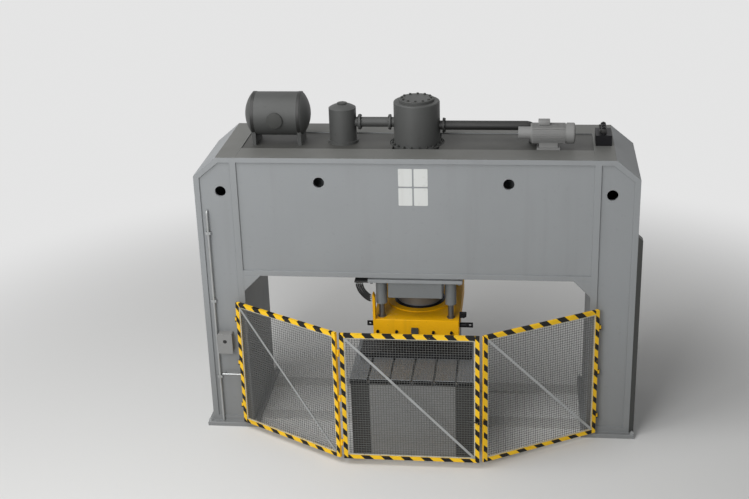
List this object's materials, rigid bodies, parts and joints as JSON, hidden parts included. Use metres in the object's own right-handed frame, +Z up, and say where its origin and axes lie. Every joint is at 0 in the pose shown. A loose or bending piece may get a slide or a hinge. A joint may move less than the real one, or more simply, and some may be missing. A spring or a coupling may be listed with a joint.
{
  "type": "portal dishing press for dished ends",
  "caption": "Portal hydraulic press that dishes plate for dished ends: crosshead with punch over a T-slot table with a dished die, and a folding mesh guard.",
  "frame": {"origin": "on the floor under the ram's axis, midway between the uprights and the two girders", "axes": "+X along the portal to the operator's right, +Y from the operator to the rear, +Z up along the ram"},
  "size_m": [7.17, 3.348, 5.605],
  "materials": {
    "grey_paint": "satin grey paint on welded plate",
    "dark_grey_paint": "satin dark grey paint",
    "black_paint": "matt black paint",
    "yellow_paint": "gloss machine yellow",
    "machined_steel": "milled, oiled",
    "black_steel": "blued and oiled",
    "hard_chrome": "ground hard chrome",
    "zinc_steel": "zinc plated",
    "mesh_wire": "dark wire mesh",
    "hose_rubber": "matt black",
    "light_grey_paint": "satin light grey paint"
  },
  "bodies": {
    "frame": {"left_upright": "grey_paint", "right_upright": "grey_paint", "base_plates": "grey_paint", "floor_ties": "grey_paint", "front_girder": "grey_paint", "rear_girder": "grey_paint", "haunches": "grey_paint", "deck_plates": "grey_paint", "head_plate": "grey_paint", "cylinder_block": "light_grey_paint", "gland_ring": "black_steel", "main_cylinder": "dark_grey_paint", "cylinder_head": "dark_grey_paint", "return_cylinders": "light_grey_paint", "hose_bundle": "hose_rubber", "bed_frame": "dark_grey_paint", "bed_ribs": "dark_grey_paint", "table_brackets": "dark_grey_paint", "t_slot_table": "machined_steel", "die_bolster": "black_steel", "lower_die": "machined_steel", "oil_tank": "dark_grey_paint", "surge_drum": "dark_grey_paint", "suction_pipe": "dark_grey_paint", "pressure_pipe": "black_paint", "pump_motor": "light_grey_paint", "valve_manifold": "black_steel", "conduit": "zinc_steel", "junction_box": "light_grey_paint", "hook_rail": "zinc_steel", "cable_trunk": "dark_grey_paint", "hinge_lugs": "black_steel"},
    "slide": {"ram": "hard_chrome", "hub_ring": "black_steel", "crosshead": "yellow_paint", "return_rods": "hard_chrome", "punch": "machined_steel", "tool_clamp_bars": "black_steel", "clamp_screws": "black_steel", "sensor_box": "light_grey_paint", "cam_bracket": "black_steel", "hose_post": "yellow_paint"},
    "lock": {"lock_bar": "black_steel"},
    "left_leaf": {"left_leaf_stiles": "yellow_paint", "left_leaf_rails": "yellow_paint", "left_leaf_strips": "yellow_paint", "left_leaf_mesh": "mesh_wire", "left_leaf_brace": "zinc_steel", "fold_pins": "zinc_steel"},
    "middle_leaf": {"middle_leaf_stiles": "yellow_paint", "middle_leaf_rails": "yellow_paint", "middle_leaf_strips": "yellow_paint", "middle_leaf_mesh": "mesh_wire", "middle_leaf_brace": "zinc_steel"},
    "right_leaf": {"right_leaf_stiles": "yellow_paint", "right_leaf_rails": "yellow_paint", "right_leaf_strips": "yellow_paint", "right_leaf_mesh": "mesh_wire", "right_leaf_brace": "zinc_steel"},
    "latch": {"latch_bolt": "zinc_steel"}
  },
  "joints": [
    {"name": "stroke", "type": "slide", "parent": "frame", "child": "slide", "axis": [0, 0, 1], "range_m": [-0.08, 0.16], "deforming": ["hose_bundle"]},
    {"name": "lock_slide", "type": "slide", "parent": "slide", "child": "lock", "axis": [1, 0, 0], "range_m": [-0.1, 0.08]},
    {"name": "left_hinge", "type": "hinge", "parent": "frame", "child": "left_leaf", "pos_m": [-2.96, -0.995, 1.2], "axis": [0, 0, 1], "range_deg": [-100, 0]},
    {"name": "fold_hinge", "type": "hinge", "parent": "left_leaf", "child": "middle_leaf", "pos_m": [-1.115, -2.07, 1.2], "axis": [0, 0, 1], "range_deg": [-120, 0]},
    {"name": "right_hinge", "type": "hinge", "parent": "frame", "child": "right_leaf", "pos_m": [2.96, -0.995, 1.2], "axis": [0, 0, 1], "range_deg": [0, 115]},
    {"name": "latch_slide", "type": "slide", "parent": "middle_leaf", "child": "latch", "axis": [1, 0, 0], "range_m": [0, 0.05]}
  ]
}
